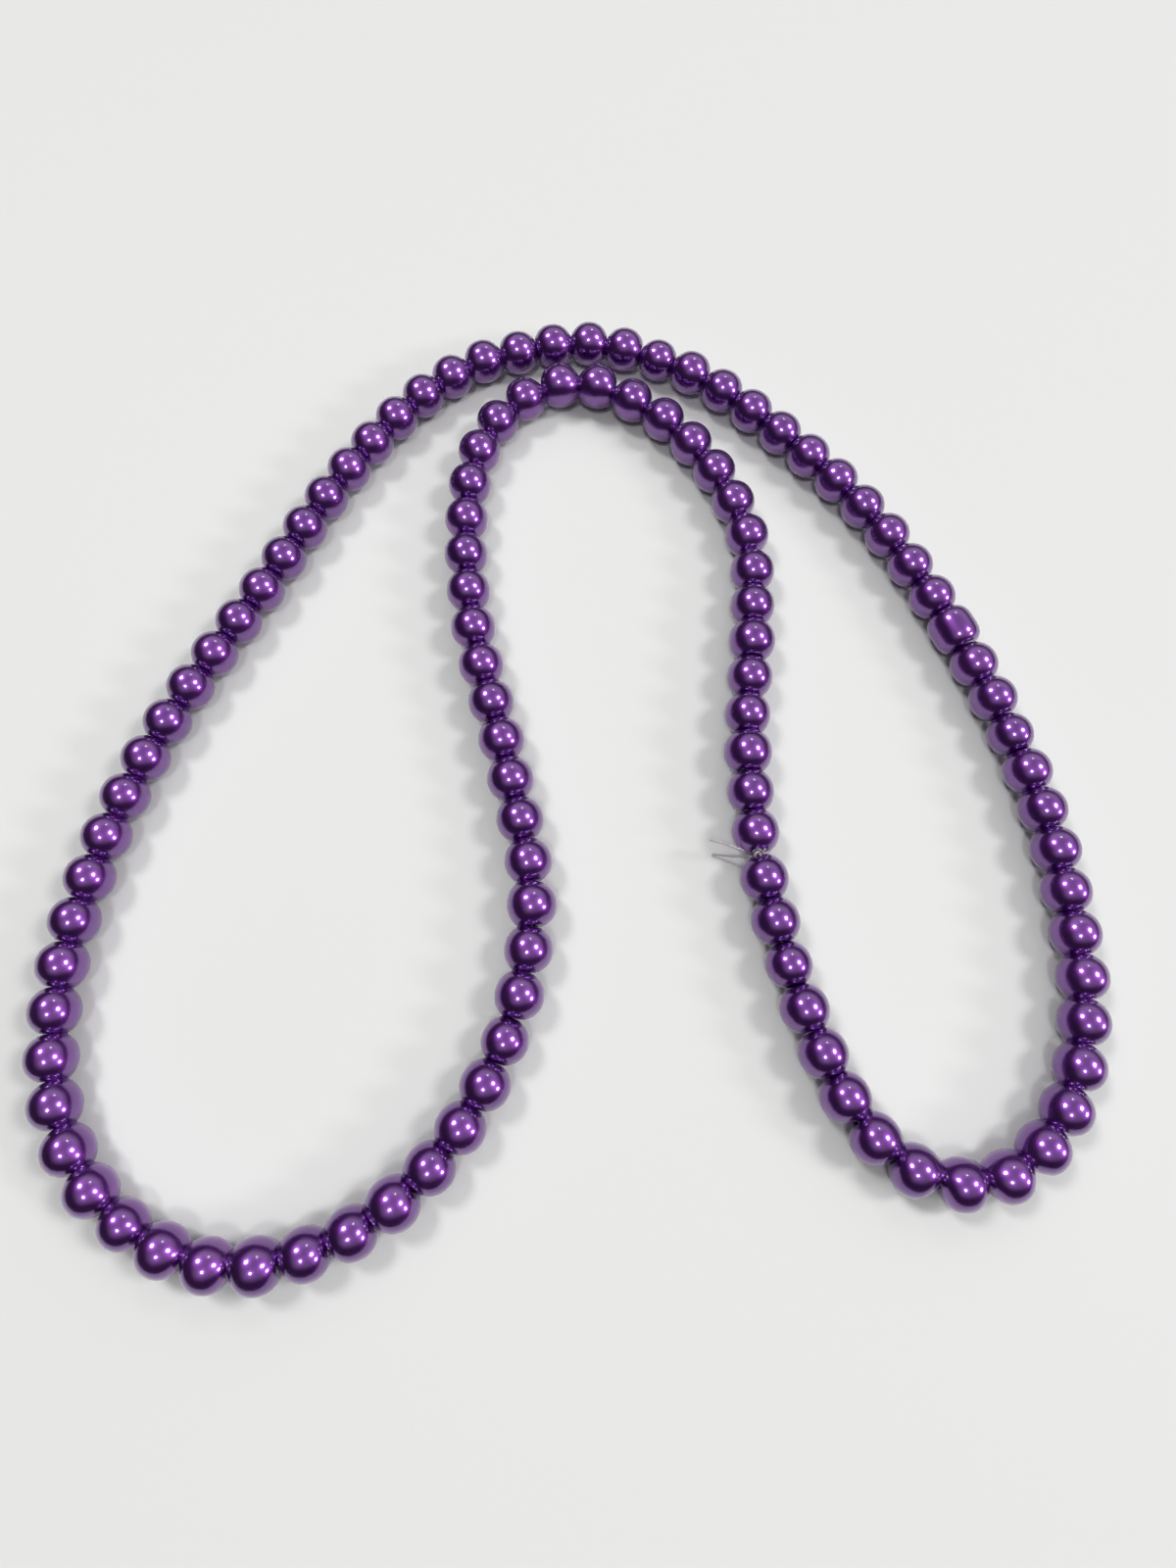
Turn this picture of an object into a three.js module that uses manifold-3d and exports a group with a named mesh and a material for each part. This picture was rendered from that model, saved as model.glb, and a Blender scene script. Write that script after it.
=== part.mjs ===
// A beaded necklace: one closed loop of pearl-coated glass beads on a clear nylon thread, tied with one
// knot. It lies flat as it was laid down: the far stretch folds in between two lobes, so the loop makes a
// broad "M". Millimetres, +Z up. The origin is on the table, under the middle of the necklace.
//
// Every bead stands on the table with its hole level and along the thread. The beads of one stretch are
// joined by the thread that runs through them, and each such run is one closed solid.

import * as THREE from "three";
import { mergeVertices } from "three/addons/utils/BufferGeometryUtils.js";
import Module from "manifold-3d";

// Driving dimensions
const BEAD_COUNT = 108;
const BEADS_PER_RUN = 9;
const BEAD_DIAMETER = 8.3;
const BEAD_LENGTH = 7.1; // along the hole
const BEAD_END_DIAMETER = 2.1; // of the flat round each end of the hole
const BEAD_SIDES = 12;
const THREAD_DIAMETER = 0.4;
const THREAD_SIDES = 4;
const KNOT_ROOM = 1; // spare thread at the knot, over the usual spacing
const KNOT_WIDTH = 2.4; // across the thread
const KNOT_HEIGHT = 1.6;
const KNOT_LENGTH = 0.6; // along the thread
const KNOT_SIDES = 10;
const TAIL_SIDES = 6;
const TAIL_STEPS = 8;
const FLATNESS = 0.001; // how far a needless corner may stand out of a flat face

// Where the thread runs, seen from above. It starts at the knot, goes down the near side of the right
// lobe, round it, over the far arch, round the left lobe and back over the inner arch.
const ROUTE = [
  { x: 32, y: -22 },
  { x: 36, y: -41 },
  { x: 41, y: -56 },
  { x: 47, y: -67 },
  { x: 57, y: -74 },
  { x: 69, y: -73 },
  { x: 79, y: -63 },
  { x: 84, y: -47 },
  { x: 84, y: -30 },
  { x: 82, y: -14 },
  { x: 76, y: 7 },
  { x: 67, y: 28 },
  { x: 56, y: 47 },
  { x: 41, y: 64 },
  { x: 23, y: 79 },
  { x: 3, y: 86 },
  { x: -11, y: 84 },
  { x: -20, y: 81 },
  { x: -32, y: 72 },
  { x: -45, y: 55 },
  { x: -59, y: 29 },
  { x: -73, y: 3 },
  { x: -81, y: -19 },
  { x: -85, y: -44 },
  { x: -82, y: -64 },
  { x: -72, y: -78 },
  { x: -55, y: -86 },
  { x: -37, y: -83 },
  { x: -22, y: -72 },
  { x: -11, y: -53 },
  { x: -7, y: -31 },
  { x: -12, y: -5 },
  { x: -19, y: 22 },
  { x: -21, y: 45 },
  { x: -19, y: 60 },
  { x: -12, y: 71 },
  { x: 0, y: 76 },
  { x: 13, y: 71 },
  { x: 25, y: 59 },
  { x: 33, y: 41 },
  { x: 33, y: 21 },
  { x: 31, y: -1 },
];

// How far beads have slid along the thread from their even places, back towards the knot being positive.
// Between two rows it changes evenly.
const SLIDES = [
  { bead: 0, slide: 0 },
  { bead: 11, slide: 0.4 },
  { bead: 23, slide: 3.3 },
  { bead: 34, slide: 2.6 },
  { bead: 45, slide: 3.8 },
  { bead: 57, slide: 3.2 },
  { bead: 75, slide: 4.1 },
  { bead: 84, slide: 3.2 },
  { bead: 101, slide: -1.5 },
  { bead: 109, slide: 0 },
];

// Beads that differ from the rest, counted from the knot along the route.
const ODD_BEADS = [
  { bead: 3, diameter: 7.9, shape: "round" },
  { bead: 21, diameter: 7.9, shape: "round" },
  { bead: 24, diameter: 8.3, shape: "barrel" },
  { bead: 35, diameter: 7.9, shape: "round" },
  { bead: 65, diameter: 7.9, shape: "round" },
  { bead: 68, diameter: 8.6, shape: "round" },
  { bead: 71, diameter: 8.6, shape: "round" },
  { bead: 75, diameter: 7.9, shape: "round" },
  { bead: 78, diameter: 8.6, shape: "round" },
  { bead: 93, diameter: 8.6, shape: "round" },
  { bead: 94, diameter: 8.6, shape: "round" },
  { bead: 103, diameter: 8.6, shape: "round" },
  { bead: 106, diameter: 8.6, shape: "round" },
];

// Half of each bead's outline, from its middle to the flat at its end. "along" is a share of half the
// bead's length and "out" a share of its radius.
const OUTLINES = {
  round: [
    { along: 0, out: 1 },
    { along: 0.62, out: 0.8 },
  ],
  barrel: [
    { along: 0.4, out: 1 },
    { along: 0.85, out: 0.72 },
  ],
};

// The two ends of the knotted thread: one springs up to the left, the other droops to the table.
const TAILS = [
  [
    { x: 32, y: -22, z: 4.1 },
    { x: 28, y: -21.1, z: 5.1 },
    { x: 25.5, y: -20.5, z: 6.1 },
    { x: 23.3, y: -20.1, z: 7 },
  ],
  [
    { x: 32, y: -22.1, z: 3.9 },
    { x: 29, y: -22.2, z: 3.2 },
    { x: 27, y: -21.8, z: 1.9 },
    { x: 24.4, y: -21.1, z: 0.3 },
  ],
];

const wasm = await Module();
wasm.setup();

const pearlCoat = new THREE.MeshStandardMaterial({
  name: "pearl_coat",
  color: 0x5b2c8c,
  roughness: 0.15,
  metalness: 0.6,
});
const clearNylon = new THREE.MeshStandardMaterial({
  name: "clear_nylon",
  color: 0xcfc9d6,
  roughness: 0.25,
  metalness: 0,
});

// A closed three.js geometry as a solid that can be joined, and back again.
function toSolid(geometry) {
  const bare = geometry.clone();
  bare.deleteAttribute("normal");
  bare.deleteAttribute("uv");
  const merged = mergeVertices(bare, 1e-4);
  const mesh = new wasm.Mesh({
    numProp: 3,
    vertProperties: Float32Array.from(merged.attributes.position.array),
    triVerts: Uint32Array.from(merged.index.array),
  });
  return new wasm.Manifold(mesh).asOriginal();
}

function toGeometry(solid) {
  const mesh = solid.getMesh();
  const geometry = new THREE.BufferGeometry();
  geometry.setAttribute("position", new THREE.BufferAttribute(mesh.vertProperties, 3));
  geometry.setIndex(new THREE.BufferAttribute(mesh.triVerts, 1));
  geometry.computeVertexNormals();
  return geometry;
}

// One closed solid out of several that overlap, with no needless corners left on its flat faces.
function joined(geometries) {
  const whole = geometries.map(toSolid).reduce((sum, next) => sum.add(next));
  return toGeometry(whole.asOriginal().simplify(FLATNESS));
}

// The closed curve of the thread, level with the middle of a plain bead.
const route = new THREE.CatmullRomCurve3(
  ROUTE.map((point) => new THREE.Vector3(point.x, point.y, BEAD_DIAMETER / 2)),
  true,
);
route.arcLengthDivisions = 4000;
const spacing = (route.getLength() - KNOT_ROOM) / BEAD_COUNT;

function slideAt(number) {
  const next = SLIDES.findIndex((row) => row.bead >= number);
  const [from, to] = [SLIDES[next - 1], SLIDES[next]];
  return THREE.MathUtils.mapLinear(number, from.bead, to.bead, from.slide, to.slide);
}

// Bead 1 comes half the knot's room and half a spacing after the knot.
function beadAt(number) {
  const distance = KNOT_ROOM / 2 + (number - 0.5) * spacing - slideAt(number);
  const share = distance / route.getLength();
  const odd = ODD_BEADS.find((row) => row.bead === number);
  const diameter = odd ? odd.diameter : BEAD_DIAMETER;
  const centre = route.getPointAt(share).setZ(diameter / 2);
  const along = route.getTangentAt(share);
  return { centre, along, diameter, shape: odd ? odd.shape : "round" };
}

// Turns a shape made about its own Y axis so that Y runs along the thread and its Z points up.
function layAlong(geometry, centre, along) {
  const up = new THREE.Vector3(0, 0, 1);
  const side = new THREE.Vector3().crossVectors(along, up);
  const placement = new THREE.Matrix4().makeBasis(side, along, up).setPosition(centre);
  return geometry.applyMatrix4(placement);
}

function beadGeometry(bead) {
  const radius = bead.diameter / 2;
  const half = BEAD_LENGTH / 2;
  const outline = OUTLINES[bead.shape].map((row) => ({ along: row.along * half, out: row.out * radius }));
  outline.push({ along: half, out: BEAD_END_DIAMETER / 2 }, { along: half, out: 0 });
  const otherHalf = outline
    .filter((row) => row.along > 0)
    .map((row) => ({ along: -row.along, out: row.out }))
    .reverse();
  const profile = [...otherHalf, ...outline].map((row) => new THREE.Vector2(row.out, row.along));
  return layAlong(new THREE.LatheGeometry(profile, BEAD_SIDES), bead.centre, bead.along);
}

// A straight length of thread from the middle of one bead to the middle of the next.
function threadGeometry(from, to) {
  const across = new THREE.Vector3().subVectors(to.centre, from.centre);
  const middle = new THREE.Vector3().addVectors(from.centre, to.centre).multiplyScalar(0.5);
  const radius = THREAD_DIAMETER / 2;
  const prism = new THREE.CylinderGeometry(radius, radius, across.length(), THREAD_SIDES);
  const turn = new THREE.Quaternion().setFromUnitVectors(
    new THREE.Vector3(0, 1, 0),
    across.normalize(),
  );
  return prism.applyQuaternion(turn).translate(middle.x, middle.y, middle.z);
}

function beadRun(first) {
  const beads = Array.from({ length: BEADS_PER_RUN }, (_, i) => beadAt(first + i));
  const threads = beads.slice(1).map((bead, i) => threadGeometry(beads[i], bead));
  return joined([...beads.map(beadGeometry), ...threads]);
}

function tailGeometry(points) {
  const curve = new THREE.CatmullRomCurve3(points.map((p) => new THREE.Vector3(p.x, p.y, p.z)));
  const section = new THREE.Shape();
  section.absarc(0, 0, THREAD_DIAMETER / 2, 0, 2 * Math.PI);
  return new THREE.ExtrudeGeometry(section, {
    steps: TAIL_STEPS,
    extrudePath: curve,
    curveSegments: TAIL_SIDES / 2,
  });
}

// A flat, wide lump between the two beads it was tied against, with both ends of the thread.
function knot() {
  const centre = route.getPointAt(0);
  const along = route.getTangentAt(0);
  const lump = new THREE.SphereGeometry(1, KNOT_SIDES, KNOT_SIDES / 2);
  lump.scale(KNOT_WIDTH / 2, KNOT_LENGTH / 2, KNOT_HEIGHT / 2);
  return joined([layAlong(lump, centre, along), ...TAILS.map(tailGeometry)]);
}

function addPart(name, geometry, material) {
  const mesh = new THREE.Mesh(geometry, material);
  mesh.name = name;
  necklace.add(mesh);
}

const necklace = new THREE.Group();
for (let run = 0; run < BEAD_COUNT / BEADS_PER_RUN; run += 1) {
  const label = String(run + 1).padStart(2, "0");
  addPart(`bead_run_${label}`, beadRun(run * BEADS_PER_RUN + 1), pearlCoat);
}
addPart("thread_knot", knot(), clearNylon);

export default necklace;
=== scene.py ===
"""Looks of a beaded necklace: a closed loop of pearl-lacquered glass beads on a clear nylon thread.

Each bead is a turned skin with a real hole, the thread runs through all of them, and the knot is wound from
the thread itself. Metres, +Z up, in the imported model's frame.
"""

import math
import random
from bisect import bisect_right

import bmesh
import bpy
from bpy.props import FloatProperty, FloatVectorProperty, IntProperty, PointerProperty
from mathutils import Matrix, Vector, noise


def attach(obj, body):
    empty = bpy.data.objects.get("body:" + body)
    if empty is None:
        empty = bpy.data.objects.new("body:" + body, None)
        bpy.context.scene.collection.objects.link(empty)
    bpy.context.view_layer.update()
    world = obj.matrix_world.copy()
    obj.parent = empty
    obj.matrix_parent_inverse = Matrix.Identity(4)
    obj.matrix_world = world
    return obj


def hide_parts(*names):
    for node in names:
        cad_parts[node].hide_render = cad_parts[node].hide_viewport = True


bl_info = {
    "name": "Beaded Necklace",
    "version": (1, 0, 0),
    "blender": (4, 5, 0),
    "location": "View3D > Sidebar > Necklace",
    "description": "Makes a necklace of pearl-lacquered glass beads, laid down in a folded loop",
    "category": "Add Mesh",
}

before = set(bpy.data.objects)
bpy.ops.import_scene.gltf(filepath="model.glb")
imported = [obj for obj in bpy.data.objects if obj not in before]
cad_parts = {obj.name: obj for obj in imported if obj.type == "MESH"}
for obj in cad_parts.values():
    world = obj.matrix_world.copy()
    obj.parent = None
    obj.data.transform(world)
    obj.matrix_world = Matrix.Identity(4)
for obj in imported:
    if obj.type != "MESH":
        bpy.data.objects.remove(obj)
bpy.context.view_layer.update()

BODY = "root"
BEADS_PER_RUN = 9
SEED = 8

# Where the thread runs, seen from above: x and y of each point. It starts at the knot, goes down the near
# side of the right lobe, round it, over the far arch, round the left lobe and back over the inner arch.
ROUTE = [
    (0.032, -0.022), (0.036, -0.041), (0.041, -0.056), (0.047, -0.067), (0.057, -0.074),
    (0.069, -0.073), (0.079, -0.063), (0.084, -0.047), (0.084, -0.030), (0.082, -0.014),
    (0.076, 0.007), (0.067, 0.028), (0.056, 0.047), (0.041, 0.064), (0.023, 0.079),
    (0.003, 0.086), (-0.011, 0.084), (-0.020, 0.081), (-0.032, 0.072), (-0.045, 0.055),
    (-0.059, 0.029), (-0.073, 0.003), (-0.081, -0.019), (-0.085, -0.044), (-0.082, -0.064),
    (-0.072, -0.078), (-0.055, -0.086), (-0.037, -0.083), (-0.022, -0.072), (-0.011, -0.053),
    (-0.007, -0.031), (-0.012, -0.005), (-0.019, 0.022), (-0.021, 0.045), (-0.019, 0.060),
    (-0.012, 0.071), (0.000, 0.076), (0.013, 0.071), (0.025, 0.059), (0.033, 0.041),
    (0.033, 0.021), (0.031, -0.001),
]

# How far beads have slid along the thread from their even places, back towards the knot being positive:
# bead and slide. Between two rows it changes evenly.
SLIDES = [
    (0, 0.0),
    (11, 0.0004),
    (23, 0.0033),
    (34, 0.0026),
    (45, 0.0038),
    (57, 0.0032),
    (75, 0.0041),
    (84, 0.0032),
    (101, -0.0015),
    (109, 0.0),
]

# Beads that differ from the rest, counted from the knot along the route: diameter and outline.
ODD_BEADS = {
    3: (0.0079, "round"),
    21: (0.0079, "round"),
    24: (0.0083, "barrel"),
    35: (0.0079, "round"),
    65: (0.0079, "round"),
    68: (0.0086, "round"),
    71: (0.0086, "round"),
    75: (0.0079, "round"),
    78: (0.0086, "round"),
    93: (0.0086, "round"),
    94: (0.0086, "round"),
    103: (0.0086, "round"),
    106: (0.0086, "round"),
}

# How square each outline's curve is: 2 is a circle, cut off where the flat ends are.
OUTLINES = {"round": 2.05, "barrel": 3.1}

# The two ends of the knotted thread: one springs up to the left, the other droops to the table.
THREAD_ENDS = {
    "thread_end_high": [
        (0.0320, -0.0220, 0.0041),
        (0.0280, -0.0211, 0.0051),
        (0.0255, -0.0205, 0.0061),
        (0.0233, -0.0201, 0.0070),
    ],
    "thread_end_low": [
        (0.0320, -0.0221, 0.0039),
        (0.0290, -0.0222, 0.0032),
        (0.0270, -0.0218, 0.0019),
        (0.0244, -0.0211, 0.0004),
    ],
}

# The small round lamps: direction from straight up towards +X and +Y (as slopes), the angle that the lamp's
# radius fills, and the light it gives to the table.
LAMPS = [
    {"slope_x": -0.49, "slope_y": 0.42, "angle": 0.12, "light": 0.90},
    {"slope_x": -0.07, "slope_y": -0.34, "angle": 0.09, "light": 0.52},
    {"slope_x": 0.83, "slope_y": 0.11, "angle": 0.12, "light": 0.86},
    {"slope_x": 2.00, "slope_y": -0.56, "angle": 0.085, "light": 0.34},
    {"slope_x": 0.27, "slope_y": 0.89, "angle": 0.055, "light": 0.07},
]


# ---------------------------------------------------------------------------------------------------------
# Settings


class NecklaceSettings(bpy.types.PropertyGroup):
    """Sizes and colours of the necklace."""

    bead_count: IntProperty(
        name="Beads", description="How many beads are on the thread", default=108, min=3
    )
    bead_diameter: FloatProperty(
        name="Bead diameter", description="Across a plain bead", default=0.0083, unit="LENGTH", precision=4
    )
    bead_length: FloatProperty(
        name="Bead length", description="The most between flat ends, where neighbours leave room",
        default=0.0080, unit="LENGTH", precision=4,
    )
    hole_diameter: FloatProperty(
        name="Hole diameter", description="Of the drilled hole", default=0.0010, unit="LENGTH", precision=4
    )
    thread_diameter: FloatProperty(
        name="Thread diameter", description="Of the nylon thread",
        default=0.0004, unit="LENGTH", precision=4,
    )
    knot_room: FloatProperty(
        name="Knot room", description="Spare thread at the knot", default=0.001, unit="LENGTH", precision=4
    )
    lacquer: FloatVectorProperty(
        name="Lacquer", description="Colour of the pearl lacquer", subtype="COLOR", size=3,
        default=(0.150, 0.025, 0.270), min=0.0, max=1.0,
    )


class StageSettings(bpy.types.PropertyGroup):
    """The table and the camera."""

    table_size: FloatProperty(
        name="Table size", description="Across the round table", default=6.0, unit="LENGTH"
    )
    camera_height: FloatProperty(
        name="Camera height", description="Above the table", default=0.1617, unit="LENGTH", precision=4
    )
    camera_tilt: FloatProperty(
        name="Camera tilt", description="From straight down, towards the far arch",
        default=math.radians(17.35), subtype="ANGLE",
    )


# ---------------------------------------------------------------------------------------------------------
# Helpers


def rgb(hex_colour):
    """An sRGB hex colour as linear RGBA."""
    channels = [int(hex_colour[i : i + 2], 16) / 255 for i in (1, 3, 5)]
    linear = [c / 12.92 if c <= 0.04045 else ((c + 0.055) / 1.055) ** 2.4 for c in channels]
    return (*linear, 1.0)


def add_node(tree, kind, settings=None, inputs=None, links=None):
    """Adds a node, sets its settings and input values, and links other nodes' outputs into its inputs."""
    node = tree.nodes.new(kind)
    for name, value in (settings or {}).items():
        setattr(node, name, value)
    for name, value in (inputs or {}).items():
        node.inputs[name].default_value = value
    for name, output in (links or {}).items():
        tree.links.new(output, node.inputs[name])
    return node


def new_material(name):
    """A material with no nodes yet, and its node tree."""
    material = bpy.data.materials.new(name)
    material.use_nodes = True
    material.node_tree.nodes.clear()
    return material, material.node_tree


def finish_material(tree, shader):
    """Links a shader to the surface."""
    add_node(tree, "ShaderNodeOutputMaterial", links={"Surface": shader.outputs[0]})


def add_piece(name, mesh, material, slot, *replaced):
    """Puts a finished mesh in the scene as a piece that rides on the necklace's one body."""
    mesh.materials.append(material)
    piece = bpy.data.objects.new(name, mesh)
    bpy.context.scene.collection.objects.link(piece)
    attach(piece, BODY)
    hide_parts(*replaced)
    return piece


def mesh_from(bm, name):
    """A smooth-shaded mesh from finished geometry, which is then freed."""
    mesh = bpy.data.meshes.new(name)
    for face in bm.faces:
        face.smooth = True
    bm.to_mesh(mesh)
    bm.free()
    return mesh


def tube_mesh(name, points, diameter, cyclic=False, sides=3, smooth_steps=6):
    """A round tube along a smooth curve through the points, as a mesh with closed ends."""
    curve = bpy.data.curves.new(name + "_curve", "CURVE")
    curve.dimensions = "3D"
    curve.bevel_depth = diameter / 2
    curve.bevel_resolution = sides
    curve.resolution_u = smooth_steps
    curve.use_fill_caps = not cyclic
    spline = curve.splines.new("NURBS")
    spline.points.add(len(points) - 1)
    for point, place in zip(spline.points, points):
        point.co = (*place, 1.0)
    spline.order_u = 3
    spline.use_cyclic_u = cyclic
    spline.use_endpoint_u = not cyclic
    holder = bpy.data.objects.new(name + "_holder", curve)
    mesh = bpy.data.meshes.new_from_object(holder)
    mesh.name = name
    bpy.data.objects.remove(holder)
    bpy.data.curves.remove(curve)
    return mesh


# ---------------------------------------------------------------------------------------------------------
# The thread's route

ROUTE_STEPS = 100  # straight steps between two points of the route
BEAD_GAP = 0.00003  # the least between the middles of neighbouring beads' flat ends


def centripetal(p0, p1, p2, p3, t):
    """A point on the smooth curve from p1 to p2; steps are spaced by the square root of the distances."""
    d0, d1, d2 = (math.sqrt((b - a).length) for a, b in ((p0, p1), (p1, p2), (p2, p3)))
    leave = ((p1 - p0) / d0 - (p2 - p0) / (d0 + d1) + (p2 - p1) / d1) * d1
    arrive = ((p2 - p1) / d1 - (p3 - p1) / (d1 + d2) + (p3 - p2) / d2) * d1
    return (
        p1 + leave * t
        + (3 * (p2 - p1) - 2 * leave - arrive) * t**2
        + (2 * (p1 - p2) + leave + arrive) * t**3
    )


class Route:
    """The closed curve of the thread, measured along its length."""

    def __init__(self, corners):
        corners = [Vector(corner) for corner in corners]
        count = len(corners)
        self.points = []
        for i in range(count):
            four = [corners[(i + k) % count] for k in (-1, 0, 1, 2)]
            self.points += [centripetal(*four, step / ROUTE_STEPS) for step in range(ROUTE_STEPS)]
        self.points.append(self.points[0])
        self.lengths = [0.0]
        for a, b in zip(self.points, self.points[1:]):
            self.lengths.append(self.lengths[-1] + (b - a).length)
        self.length = self.lengths[-1]

    def at(self, distance):
        """The place and the direction of the thread at a distance from the knot."""
        distance = distance % self.length
        i = min(bisect_right(self.lengths, distance), len(self.lengths) - 1)
        a, b = self.points[i - 1], self.points[i]
        share = (distance - self.lengths[i - 1]) / (self.lengths[i] - self.lengths[i - 1])
        return a.lerp(b, share), (b - a).normalized()


def slide_at(number):
    """How far a bead has slid back along the thread."""
    for (first, slide), (last, next_slide) in zip(SLIDES, SLIDES[1:]):
        if number <= last:
            return slide + (next_slide - slide) * (number - first) / (last - first)
    return 0.0


def outline_radius(along, radius, power):
    """How far out a bead's skin is, at a distance along the hole from the bead's middle."""
    return radius * (1 - min(along / radius, 1.0) ** power) ** (1 / power)


def end_towards(spot, neighbour, facing, most):
    """How far a bead reaches towards its neighbour, and the angle from its hole to the line between them."""
    _, centre, direction, diameter, _ = spot
    chord = (neighbour[1] - centre).to_2d() * facing
    turn = -direction.to_2d().angle_signed(chord)
    half = (chord.length - BEAD_GAP) / 2 / math.cos(turn)
    return min(half, most * diameter / 2), turn


def bead_places(settings):
    """Each bead's number, centre, direction, two ends, diameter and outline."""
    route = Route(ROUTE)
    spacing = (route.length - settings.knot_room) / settings.bead_count
    spots = []
    for number in range(1, settings.bead_count + 1):
        distance = settings.knot_room / 2 + (number - 0.5) * spacing - slide_at(number)
        flat, along = route.at(distance)
        diameter, outline = ODD_BEADS.get(number, (settings.bead_diameter, "round"))
        centre = Vector((flat.x, flat.y, diameter / 2))
        spots.append((number, centre, Vector((along.x, along.y, 0.0)), diameter, outline))
    most = settings.bead_length / settings.bead_diameter
    places = []
    for i, spot in enumerate(spots):
        number, centre, direction, diameter, outline = spot
        back = end_towards(spot, spots[i - 1], -1, most)
        front = end_towards(spot, spots[(i + 1) % len(spots)], 1, most)
        places.append((number, centre, direction, (back, front), diameter, outline))
    return places


# ---------------------------------------------------------------------------------------------------------
# Materials

NYLON = "clear_nylon_monofilament"

# The lacquer's own colour is multiplied by these where its tone is deepest and where it is brightest.
DEEP_TONE = (0.80, 0.75, 0.86)
BRIGHT_TONE = (1.22, 1.25, 1.12)
DRIFT_SHARE = 0.35  # of the tone, how much comes from drifts in the film
DRIFT_SIZE = 0.003
WAVE_SIZE = 0.0012
FLAKE_SIZE = 0.0003
HAZE_SIZE = 0.0015  # of the milky drifts in the nylon


def toned(colour, tone):
    """A colour with each channel multiplied by the tone's."""
    return (*(channel * share for channel, share in zip(colour, tone)), 1.0)


def pearl_lacquer(settings):
    """Pearl lacquer on pressed glass: a film full of fine mica flakes under a clear gloss.

    The flakes all lie flat, so the bead mirrors the room in deep purple; the clear skin over them adds a
    colourless glint. Dipping leaves the film a touch thicker here and there, which shows as soft drifts of
    tone and a faint waviness in what the bead mirrors.
    """
    material, tree = new_material("pearl_lacquer_on_pressed_glass")
    place = add_node(tree, "ShaderNodeTexCoord").outputs["Object"]
    bead_tone = add_node(tree, "ShaderNodeAttribute", {"attribute_name": "tone"}).outputs["Fac"]
    painted_hole_shade = add_node(tree, "ShaderNodeAttribute", {"attribute_name": "painted_hole_shade"}).outputs["Fac"]

    # Soft drifts of tone, on top of each bead's own tone.
    drift = add_node(
        tree, "ShaderNodeTexNoise", inputs={"Scale": 1 / DRIFT_SIZE, "Detail": 2.0}, links={"Vector": place}
    ).outputs["Fac"]
    shade = add_node(
        tree, "ShaderNodeMath", {"operation": "MULTIPLY_ADD"}, {1: DRIFT_SHARE}, {0: drift, 2: bead_tone}
    ).outputs[0]
    ramp = add_node(tree, "ShaderNodeValToRGB", links={"Fac": shade})
    deep, bright = ramp.color_ramp.elements
    deep.position, bright.position = 0.0, 1.0
    deep.color = toned(settings.lacquer, DEEP_TONE)
    bright.color = toned(settings.lacquer, BRIGHT_TONE)

    # Painted shade: round the rim of each hole, deep in the joint where neighbouring beads meet, the colour
    # is darkened to a deep glass purple.
    colour = add_node(
        tree, "ShaderNodeMix", {"data_type": "RGBA"}, {"B": rgb("#2a0d3a")},
        {"Factor": painted_hole_shade, "A": ramp.outputs["Color"]},
    ).outputs["Result"]

    # Dipping leaves waves a few microns high; flakes are too fine to show one by one.
    waves = add_node(
        tree, "ShaderNodeTexNoise", inputs={"Scale": 1 / WAVE_SIZE, "Detail": 1.0}, links={"Vector": place}
    ).outputs["Fac"]
    bump = add_node(
        tree, "ShaderNodeBump", inputs={"Strength": 0.1, "Distance": 0.00003}, links={"Height": waves}
    ).outputs["Normal"]
    flakes = add_node(
        tree, "ShaderNodeTexNoise", inputs={"Scale": 1 / FLAKE_SIZE, "Detail": 2.0}, links={"Vector": place}
    ).outputs["Fac"]
    roughness = add_node(
        tree, "ShaderNodeMapRange",
        inputs={"From Min": 0.3, "From Max": 0.7, "To Min": 0.30, "To Max": 0.37}, links={"Value": flakes},
    ).outputs[0]

    shader = add_node(
        tree, "ShaderNodeBsdfPrincipled",
        inputs={"Metallic": 1.0, "Coat Weight": 1.0, "Coat Roughness": 0.115, "Coat IOR": 1.84},
        links={"Base Color": colour, "Roughness": roughness, "Normal": bump, "Coat Normal": bump},
    )
    finish_material(tree, shader)
    return material


def clear_nylon():
    """Nylon monofilament, drawn smooth: clear, a little milky, and glinting along its length.

    The thread, the knot and the ends share it.
    """
    made = bpy.data.materials.get(NYLON)
    if made:
        return made
    material, tree = new_material(NYLON)
    place = add_node(tree, "ShaderNodeTexCoord").outputs["Object"]
    haze = add_node(
        tree, "ShaderNodeTexNoise", inputs={"Scale": 1 / HAZE_SIZE, "Detail": 2.0}, links={"Vector": place}
    ).outputs["Fac"]
    roughness = add_node(
        tree, "ShaderNodeMapRange", inputs={"To Min": 0.05, "To Max": 0.15}, links={"Value": haze}
    ).outputs[0]
    shader = add_node(
        tree, "ShaderNodeBsdfPrincipled",
        inputs={"Base Color": rgb("#d2c8d2"), "IOR": 1.53, "Transmission Weight": 0.6},
        links={"Roughness": roughness},
    )
    finish_material(tree, shader)
    return material


def white_table():
    """A white table top under a silk finish, which mirrors the beads only faintly."""
    material, tree = new_material("white_silk_finish_table")
    shader = add_node(
        tree, "ShaderNodeBsdfPrincipled",
        inputs={"Base Color": rgb("#d6d7d5"), "Roughness": 0.62, "IOR": 1.36},
    )
    finish_material(tree, shader)
    return material


# ---------------------------------------------------------------------------------------------------------
# Pieces

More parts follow.
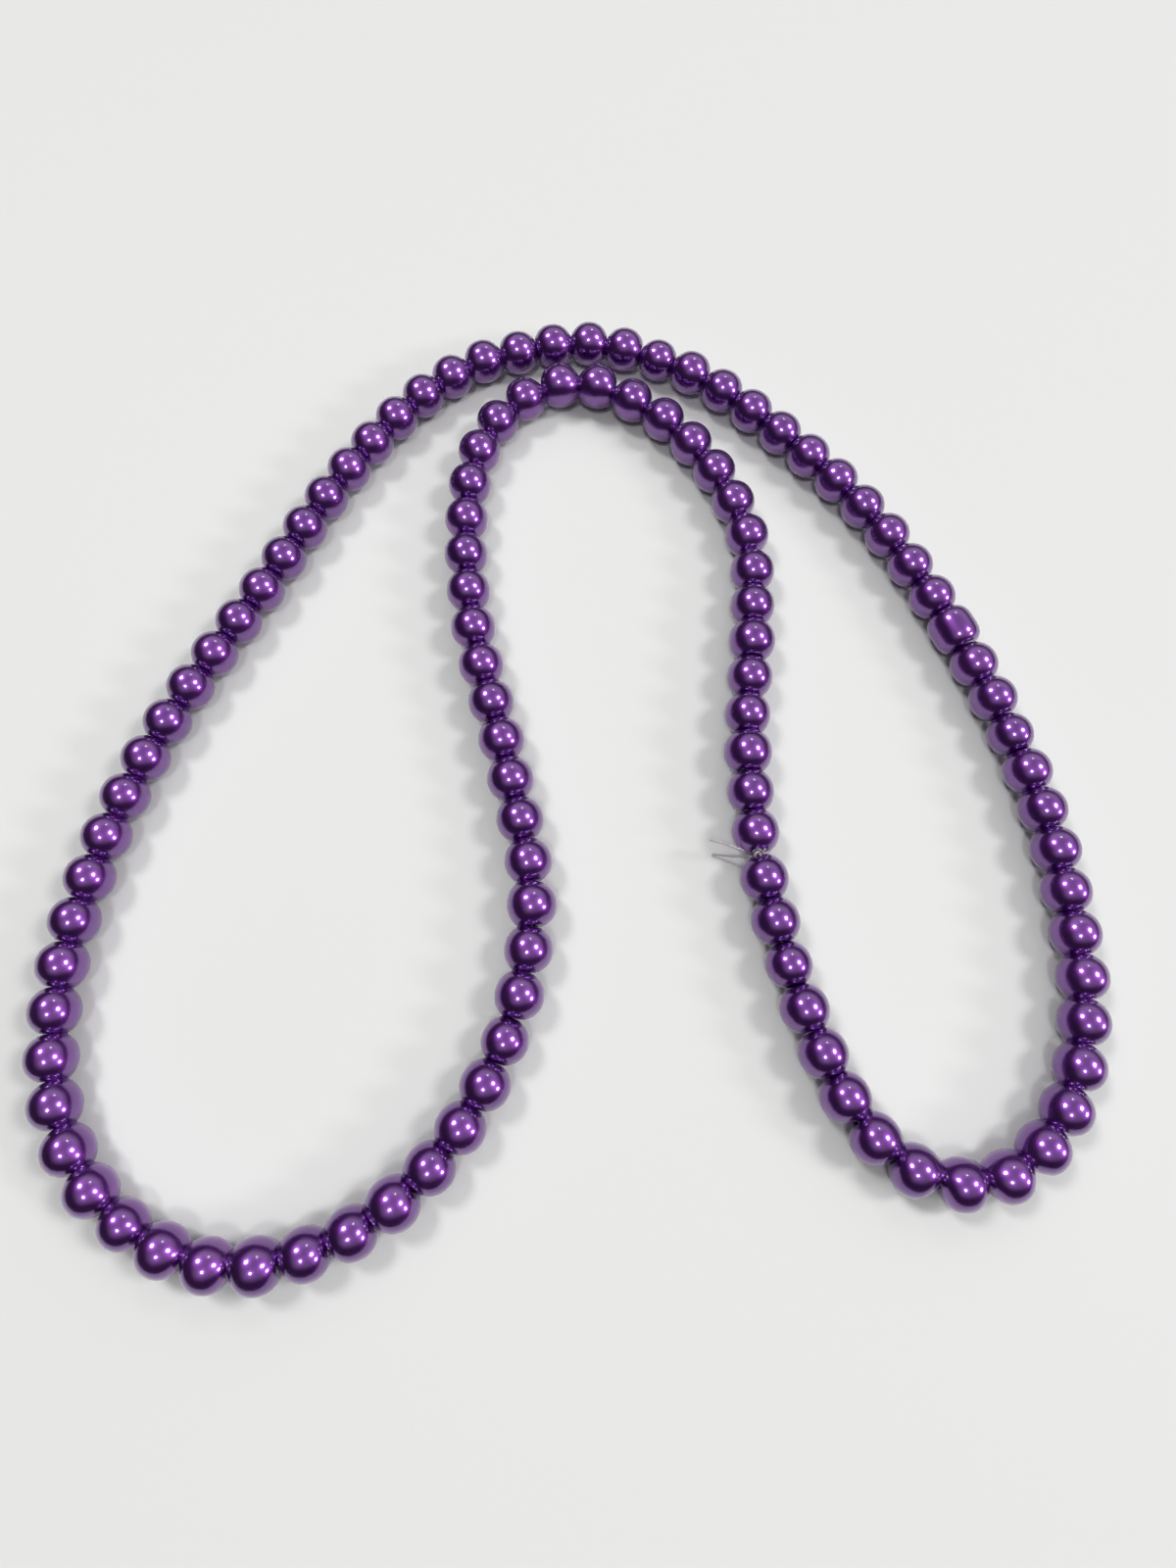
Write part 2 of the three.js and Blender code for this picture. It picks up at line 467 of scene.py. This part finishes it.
OUTLINE_STEPS = 22
TURN_STEPS = 44
MOUTH = 0.00015  # how far each hole's mouth is rounded off
RIM_ROUNDING = 0.0002  # how far the rim of each flat end is rounded off
DIMPLE = 0.0002  # how deep each end is dimpled round its hole
RIM_STEPS = 4
PAINTED_HOLE_SHADE_WIDTH = 0.0003  # how far round each hole the painted shade in the joint reaches
END_TURN_POWER = 3  # how closely a turned end keeps to the end of the bead
ASKEW = 0.6  # the most degrees that a bead is out of line
LUMP_SIZE = 0.0034  # how far apart the soft lumps in a pressed bead are
LUMP_HEIGHT = 0.00002
LUMP_STEP = (1.7, 0.9)  # from one bead's patch of lumps to the next bead's
LEAST_HEIGHT = 0.985  # how high the flattest bead is against its width
LEAST_TONE = 0.15
MOST_TONE = 0.5


def rounded_end(half, radius, power, bore):
    """Points from the hole's mouth across one dimpled end and over its rounded rim, along and out."""
    flat = outline_radius(half, radius, power)
    skin_along = half - RIM_ROUNDING
    start = Vector((half, flat - RIM_ROUNDING))
    corner = Vector((half, flat))
    stop = Vector((skin_along, outline_radius(skin_along, radius, power)))
    points = [(half - DIMPLE - MOUTH, bore), (half - DIMPLE, bore + MOUTH)]
    for step in range(RIM_STEPS + 1):
        share = step / RIM_STEPS
        nearer, farther = start.lerp(corner, share), corner.lerp(stop, share)
        points.append(nearer.lerp(farther, share).to_tuple())
    return points


def bead_outline(ends, diameter, outline, hole_diameter):
    """Points along and out from the hole's middle line, round one half of the bead's cut face."""
    radius, bore, power = diameter / 2, hole_diameter / 2, OUTLINES[outline]
    (back_half, _), (front_half, _) = ends
    back = [(-along, out) for along, out in rounded_end(back_half, radius, power, bore)]
    front = rounded_end(front_half, radius, power, bore)
    first, last = (math.asin(end[-1][0] / radius) for end in (back, front))
    body = []
    for step in range(1, OUTLINE_STEPS):
        along = radius * math.sin(first + (last - first) * step / OUTLINE_STEPS)
        body.append((along, outline_radius(abs(along), radius, power)))
    return [*back, *body, *reversed(front)]


def bead_mesh(name, place, settings, dice):
    """A turned bead with its hole, a little uneven, standing on the table where it is on the thread."""
    number, centre, direction, ends, diameter, outline = place
    bm = bmesh.new()
    points = bead_outline(ends, diameter, outline, settings.hole_diameter)
    verts = [bm.verts.new((along, 0.0, out)) for along, out in points]
    edges = [bm.edges.new((verts[i - 1], verts[i])) for i in range(len(verts))]
    bmesh.ops.spin(
        bm, geom=verts + edges, cent=(0, 0, 0), axis=(1, 0, 0), dvec=(0, 0, 0),
        angle=math.tau, steps=TURN_STEPS, use_merge=True, use_duplicate=False,
    )

    painted_hole_shade_layer = bm.verts.layers.float.new("painted_hole_shade")
    tone_layer = bm.verts.layers.float.new("tone")
    tone = dice.uniform(LEAST_TONE, MOST_TONE)
    # Each point carries the bead's tone and the painted shade of the joint, which is full at the hole's rim
    # and gone a little way out.
    for vert in bm.verts:
        from_hole = vert.co.yz.length - settings.hole_diameter / 2
        vert[painted_hole_shade_layer] = max(0.0, 1.0 - from_hole / PAINTED_HOLE_SHADE_WIDTH)
        vert[tone_layer] = tone

    # Pressing leaves soft lumps, and no bead is quite round.
    offset = Vector((number * LUMP_STEP[0], number * LUMP_STEP[1], SEED))
    for vert in bm.verts:
        lump = noise.noise(vert.co / LUMP_SIZE + offset)
        vert.co.yz += vert.co.yz.normalized() * lump * LUMP_HEIGHT
    squash = dice.uniform(LEAST_HEIGHT, 1.0)
    bmesh.ops.scale(bm, verts=bm.verts, vec=(1.0, 1.0, squash))

    # Each bead sits rolled to a chance angle on the thread.
    roll = Matrix.Rotation(dice.uniform(0, math.tau), 3, "X")
    bmesh.ops.rotate(bm, verts=bm.verts, cent=(0, 0, 0), matrix=roll)

    # On a bend each end leans. Known fault: it leans the wrong way, so neighbours on a bend cut into each
    # other on the inside. Subtracting here would lay their ends flat together.
    for vert in bm.verts:
        half, turn = ends[vert.co.x > 0]
        vert.co.x += vert.co.y * math.tan(turn) * abs(vert.co.x / half) ** END_TURN_POWER

    # No bead is quite in line with the thread.
    yaw = Matrix.Rotation(math.radians(dice.uniform(-ASKEW, ASKEW)), 3, "Z")
    pitch = Matrix.Rotation(math.radians(dice.uniform(-ASKEW, ASKEW)), 3, "Y")
    line_up = Matrix.Rotation(math.atan2(direction.y, direction.x), 3, "Z")
    bmesh.ops.rotate(bm, verts=bm.verts, cent=(0, 0, 0), matrix=line_up @ yaw @ pitch)
    lowest = min(vert.co.z for vert in bm.verts)
    bmesh.ops.translate(bm, verts=bm.verts, vec=(centre.x, centre.y, -lowest))
    bmesh.ops.recalc_face_normals(bm, faces=bm.faces)
    return mesh_from(bm, name)


class NECKLACE_OT_beads(bpy.types.Operator):
    """Make every bead, where it lies on the thread"""

    bl_idname = "necklace.beads"
    bl_label = "Beads"

    def execute(self, context):
        settings = context.scene.necklace
        material = pearl_lacquer(settings)
        dice = random.Random(SEED)
        for place in bead_places(settings):
            number = place[0]
            name = f"bead_{number:03d}"
            run = f"bead_run_{(number - 1) // BEADS_PER_RUN + 1:02d}"
            add_piece(name, bead_mesh(name, place, settings, dice), material, "pearl_coat", run)
        return {"FINISHED"}


class NECKLACE_OT_thread(bpy.types.Operator):
    """Run the thread through the holes of all the beads"""

    bl_idname = "necklace.thread"
    bl_label = "Thread"

    STRAIGHT_SHARE = 0.45  # of a bead's length: how far the thread runs straight, each way from its middle

    def execute(self, context):
        settings = context.scene.necklace
        reach = settings.bead_length * self.STRAIGHT_SHARE
        points = []
        for _, centre, direction, *_ in bead_places(settings):
            points += [centre - direction * reach, centre, centre + direction * reach]
        mesh = tube_mesh("thread", points, settings.thread_diameter, cyclic=True, smooth_steps=2)
        add_piece("thread", mesh, clear_nylon(), "clear_nylon", "thread_knot")
        return {"FINISHED"}


class NECKLACE_OT_knot(bpy.types.Operator):
    """Tie the knot and leave both ends of the thread"""

    bl_idname = "necklace.knot"
    bl_label = "Knot and thread ends"

    ROUNDS = 2  # how often the thread goes round the knot
    WRAPS = 5  # how often it turns over and under on the way
    WRAP_STEPS = 12
    RING_RADIUS = 0.00056
    WRAP_RADIUS = 0.00036
    WRAP_HEIGHT = 1.3  # how much taller each turn is than it is wide
    KNOT_WIDTH = 1.5  # how much wider the knot is across the strand than along it
    KNOT_RISE = 0.0016  # how far it is pushed up between the beads' shoulders

    def wraps(self, settings):
        """The thread wound through itself, twice round the knot with five turns over and under."""
        flat, along = Route(ROUTE).at(0.0)
        forward = Vector((along.x, along.y, 0.0))
        up = Vector((0, 0, 1))
        across = up.cross(forward)
        centre = Vector((flat.x, flat.y, settings.bead_diameter / 2 + self.KNOT_RISE))
        points = []
        steps = self.WRAPS * self.WRAP_STEPS
        for step in range(steps):
            round_angle = self.ROUNDS * math.tau * step / steps
            wrap_angle = self.WRAPS * math.tau * step / steps
            out = self.RING_RADIUS + self.WRAP_RADIUS * math.cos(wrap_angle)
            points.append(
                centre
                + across * out * self.KNOT_WIDTH * math.cos(round_angle)
                + forward * out * math.sin(round_angle)
                + up * self.WRAP_RADIUS * self.WRAP_HEIGHT * math.sin(wrap_angle)
            )
        return tube_mesh("knot", points, settings.thread_diameter, cyclic=True, smooth_steps=3)

    def execute(self, context):
        settings = context.scene.necklace
        material = clear_nylon()
        add_piece("knot", self.wraps(settings), material, "clear_nylon", "thread_knot")
        for name, points in THREAD_ENDS.items():
            mesh = tube_mesh(name, points, settings.thread_diameter, smooth_steps=8)
            add_piece(name, mesh, material, "clear_nylon", "thread_knot")
        return {"FINISHED"}


# ---------------------------------------------------------------------------------------------------------
# The stage

LAMP_HEIGHT = 2.3
TABLE_SIDES = 96

# The room's soft light. Each fade of a patch has an axis, the slope where the light has died away along it,
# and the slope where the light is full.
ROOM_LEVEL = 0.035
CEILING_LEVEL = 0.42
CEILING_FADES = [("X", -1.2, -0.3), ("X", 5.0, 2.2), ("Y", -1.5, -0.5), ("Y", 5.0, 2.0)]
FAR_STRIP_LEVEL = 0.42
FAR_STRIP_FADES = [("X", -1.6, -0.6), ("X", 2.4, 1.0), ("Y", 0.5, 1.0), ("Y", 2.4, 1.5)]
LEAST_RISE = 0.02  # directions lower than this count as this high, so that no slope is endless

CAMERA_X = 0.0025
CAMERA_Y = -0.0585
LENS = 21.49  # millimetres, as the sensor's width is
SENSOR_WIDTH = 36.0
NEAREST = 0.01


class NECKLACE_OT_stage(bpy.types.Operator):
    """Set the table, the lamps, the room's soft light and the camera"""

    bl_idname = "necklace.stage"
    bl_label = "Stage"

    def table(self, size):
        bm = bmesh.new()
        bmesh.ops.create_circle(bm, cap_ends=True, segments=TABLE_SIDES, radius=size / 2)
        mesh = bpy.data.meshes.new("table")
        bm.to_mesh(mesh)
        bm.free()
        mesh.materials.append(white_table())
        table = bpy.data.objects.new("table", mesh)
        bpy.context.scene.collection.objects.link(table)

    def lamps(self):
        """Round lamps far overhead: small, so that they glint in every bead and cast soft-edged shadows."""
        for number, row in enumerate(LAMPS, 1):
            place = Vector((row["slope_x"], row["slope_y"], 1.0)) * LAMP_HEIGHT
            distance = place.length
            light = bpy.data.lights.new(f"lamp_{number}", "AREA")
            light.shape = "DISK"
            light.size = 2 * distance * math.tan(row["angle"])
            light.energy = row["light"] * math.pi * distance**3 / place.z
            lamp = bpy.data.objects.new(f"lamp_{number}", light)
            lamp.location = place
            lamp.rotation_euler = place.to_track_quat("Z", "Y").to_euler()
            bpy.context.scene.collection.objects.link(lamp)

    def room(self):
        """A dim room with a broad pale ceiling, brightest towards the far side."""
        world = bpy.data.worlds.new("room")
        bpy.context.scene.world = world
        world.use_nodes = True
        tree = world.node_tree
        tree.nodes.clear()
        direction = add_node(tree, "ShaderNodeTexCoord").outputs["Generated"]
        parts = add_node(tree, "ShaderNodeSeparateXYZ", links={"Vector": direction}).outputs
        rise = add_node(
            tree, "ShaderNodeMath", {"operation": "MAXIMUM"}, {1: LEAST_RISE}, {0: parts["Z"]}
        ).outputs[0]
        slopes = {
            axis: add_node(
                tree, "ShaderNodeMath", {"operation": "DIVIDE"}, links={0: parts[axis], 1: rise}
            ).outputs[0]
            for axis in ("X", "Y")
        }

        def patch(fades, level):
            """A soft-edged patch of light overhead: its fades multiplied together, at a level."""
            total = None
            for axis, start, end in fades:
                fade = add_node(
                    tree, "ShaderNodeMapRange", {"interpolation_type": "SMOOTHSTEP"},
                    {"From Min": start, "From Max": end}, {"Value": slopes[axis]},
                ).outputs[0]
                total = fade if total is None else add_node(
                    tree, "ShaderNodeMath", {"operation": "MULTIPLY"}, links={0: total, 1: fade}
                ).outputs[0]
            return add_node(
                tree, "ShaderNodeMath", {"operation": "MULTIPLY"}, {1: level}, {0: total}
            ).outputs[0]

        ceiling = patch(CEILING_FADES, CEILING_LEVEL)
        far_strip = patch(FAR_STRIP_FADES, FAR_STRIP_LEVEL)
        both = add_node(tree, "ShaderNodeMath", {"operation": "ADD"}, links={0: ceiling, 1: far_strip})
        level = add_node(
            tree, "ShaderNodeMath", {"operation": "ADD"}, {1: ROOM_LEVEL}, {0: both.outputs[0]}
        )
        room_light = add_node(
            tree, "ShaderNodeBackground", inputs={"Color": (1.0, 1.0, 1.0, 1.0)},
            links={"Strength": level.outputs[0]},
        )
        backdrop = add_node(
            tree, "ShaderNodeBackground", inputs={"Color": rgb("#e4e5e6"), "Strength": 1.0}
        )
        straight = add_node(tree, "ShaderNodeLightPath").outputs["Is Camera Ray"]
        mixed = add_node(
            tree, "ShaderNodeMixShader",
            links={0: straight, 1: room_light.outputs[0], 2: backdrop.outputs[0]},
        )
        add_node(tree, "ShaderNodeOutputWorld", links={"Surface": mixed.outputs[0]})

    def camera(self, settings):
        """Nearly overhead, tilted towards the far arch, with a wide lens."""
        camera_data = bpy.data.cameras.new("camera")
        camera_data.lens = LENS
        camera_data.sensor_width = SENSOR_WIDTH
        camera_data.clip_start = NEAREST
        camera = bpy.data.objects.new("camera", camera_data)
        camera.location = (CAMERA_X, CAMERA_Y, settings.camera_height)
        camera.rotation_euler = (settings.camera_tilt, 0.0, 0.0)
        bpy.context.scene.collection.objects.link(camera)
        bpy.context.scene.camera = camera

    def execute(self, context):
        settings = context.scene.necklace_stage
        self.table(settings.table_size)
        self.lamps()
        self.room()
        self.camera(settings)
        context.scene.view_settings.view_transform = "Standard"
        return {"FINISHED"}


# ---------------------------------------------------------------------------------------------------------
# The add-on


class NECKLACE_PT_panel(bpy.types.Panel):
    """Buttons for each part of the necklace"""

    bl_idname = "NECKLACE_PT_panel"
    bl_label = "Beaded necklace"
    bl_space_type = "VIEW_3D"
    bl_region_type = "UI"
    bl_category = "Necklace"

    def draw(self, context):
        layout = self.layout
        for settings in (context.scene.necklace, context.scene.necklace_stage):
            for name in settings.__annotations__:
                layout.prop(settings, name)
        for operator in OPERATORS:
            layout.operator(operator.bl_idname)


OPERATORS = (NECKLACE_OT_stage, NECKLACE_OT_beads, NECKLACE_OT_thread, NECKLACE_OT_knot)
CLASSES = (NecklaceSettings, StageSettings, *OPERATORS, NECKLACE_PT_panel)


def register():
    for cls in CLASSES:
        bpy.utils.register_class(cls)
    bpy.types.Scene.necklace = PointerProperty(type=NecklaceSettings)
    bpy.types.Scene.necklace_stage = PointerProperty(type=StageSettings)


def unregister():
    del bpy.types.Scene.necklace_stage
    del bpy.types.Scene.necklace
    for cls in reversed(CLASSES):
        bpy.utils.unregister_class(cls)


def main():
    register()
    bpy.ops.necklace.stage()
    bpy.ops.necklace.beads()
    bpy.ops.necklace.thread()
    bpy.ops.necklace.knot()


if __name__ == "__main__":
    main()
